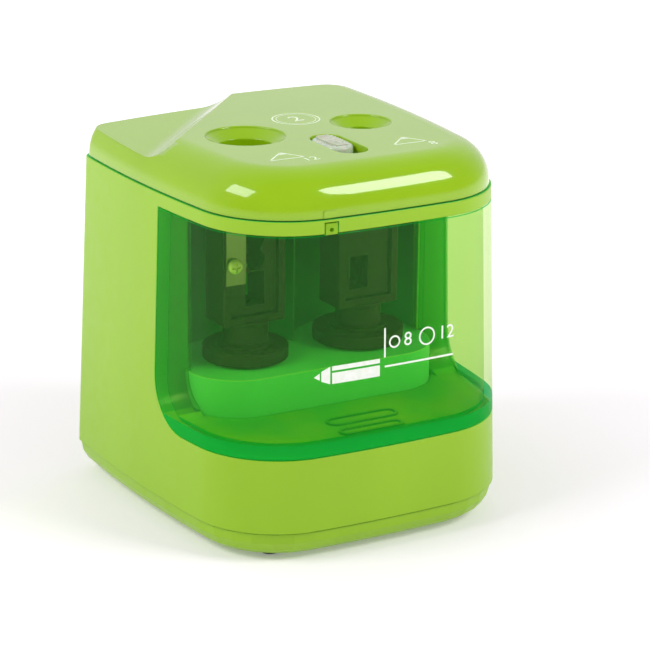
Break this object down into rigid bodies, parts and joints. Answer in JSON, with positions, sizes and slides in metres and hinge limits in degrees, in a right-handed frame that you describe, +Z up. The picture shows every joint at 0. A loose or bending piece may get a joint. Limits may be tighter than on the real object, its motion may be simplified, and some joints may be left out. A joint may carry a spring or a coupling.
{
  "type": "pencil sharpener",
  "caption": "Battery pencil sharpener with a large and a small hole in the lid, rotating cutters behind a transparent front bin that slides out, and a slide switch.",
  "frame": {"origin": "on the surface it stands on, under the middle of the case", "axes": "+Z up, -Y out of the front with the bin, +X to the right seen from the front"},
  "size_m": [0.0846, 0.087, 0.0923],
  "materials": {
    "case_green": "satin moulded, apple green",
    "lid_green": "high gloss, apple green",
    "inner_green": "satin moulded, apple green",
    "clear_green": "transparent green, polished",
    "cutter_black": "satin black",
    "steel": "bright steel",
    "motor_steel": "zinc plated",
    "gear_white": "natural acetal",
    "brass": "turned",
    "knob_clear": "milky translucent",
    "switch_black": "black",
    "battery_jacket": "printed jacket, grey",
    "spring_steel": "nickel plated",
    "foot_rubber": "matt black"
  },
  "bodies": {
    "case": {"body_shell": "case_green", "top_cover": "lid_green", "base_plate": "case_green", "gearbox_deck": "inner_green", "gearbox_lower_plate": "inner_green", "chamber_wall": "inner_green", "idler_axle": "steel", "motor": "motor_steel", "switch_body": "switch_black", "battery_1": "battery_jacket", "battery_spring_1": "spring_steel", "foot_1": "foot_rubber", "case_screw_1": "steel", "battery_2": "battery_jacket", "battery_spring_2": "spring_steel", "foot_2": "foot_rubber", "case_screw_2": "steel", "battery_3": "battery_jacket", "battery_spring_3": "spring_steel", "foot_3": "foot_rubber", "case_screw_3": "steel", "battery_4": "battery_jacket", "battery_spring_4": "spring_steel", "foot_4": "foot_rubber", "case_screw_4": "steel", "contact_front_left": "spring_steel", "contact_front_right": "spring_steel", "contact_back_left": "spring_steel", "contact_back_middle": "spring_steel", "contact_back_right": "spring_steel"},
    "bin": {"shavings_bin": "clear_green"},
    "door": {"battery_door": "case_green"},
    "knob": {"switch_knob": "knob_clear"},
    "cutter_large": {"cutter_holder_large": "cutter_black", "sharpener_block_large": "cutter_black", "blade_large": "steel", "blade_screw_large": "steel", "cutter_gear_large": "gear_white"},
    "cutter_small": {"cutter_holder_small": "cutter_black", "sharpener_block_small": "cutter_black", "blade_small": "steel", "blade_screw_small": "steel", "cutter_gear_small": "gear_white"},
    "idler": {"idler_gear": "gear_white"},
    "rotor": {"motor_shaft": "steel", "motor_pinion": "brass"}
  },
  "joints": [
    {"name": "bin_slide", "type": "slide", "parent": "case", "child": "bin", "axis": [0, -1, 0], "range_m": [0, 0.045]},
    {"name": "battery_door_slide", "type": "slide", "parent": "case", "child": "door", "axis": [0, 1, 0], "range_m": [0, 0.068]},
    {"name": "switch_slide", "type": "slide", "parent": "case", "child": "knob", "axis": [0, -1, 0], "range_m": [0, 0.006]},
    {"name": "cutter_large_spin", "type": "hinge", "parent": "case", "child": "cutter_large", "pos_m": [-0.0156, -0.0018, 0.06], "axis": [0, 0, 1], "continuous": true},
    {"name": "cutter_small_spin", "type": "hinge", "parent": "case", "child": "cutter_small", "pos_m": [0.0156, -0.0018, 0.06], "axis": [0, 0, 1], "continuous": true},
    {"name": "idler_spin", "type": "hinge", "parent": "case", "child": "idler", "pos_m": [0, 0.00796, 0.028], "axis": [0, 0, 1], "continuous": true},
    {"name": "motor_spin", "type": "hinge", "parent": "case", "child": "rotor", "pos_m": [0, 0.02416, 0.028], "axis": [0, 0, 1], "continuous": true}
  ],
  "couplings": [
    {"joint": "cutter_small_spin", "follows": "cutter_large_spin", "ratio": 1},
    {"joint": "idler_spin", "follows": "cutter_large_spin", "ratio": -1.875},
    {"joint": "motor_spin", "follows": "cutter_large_spin", "ratio": 8.25}
  ]
}
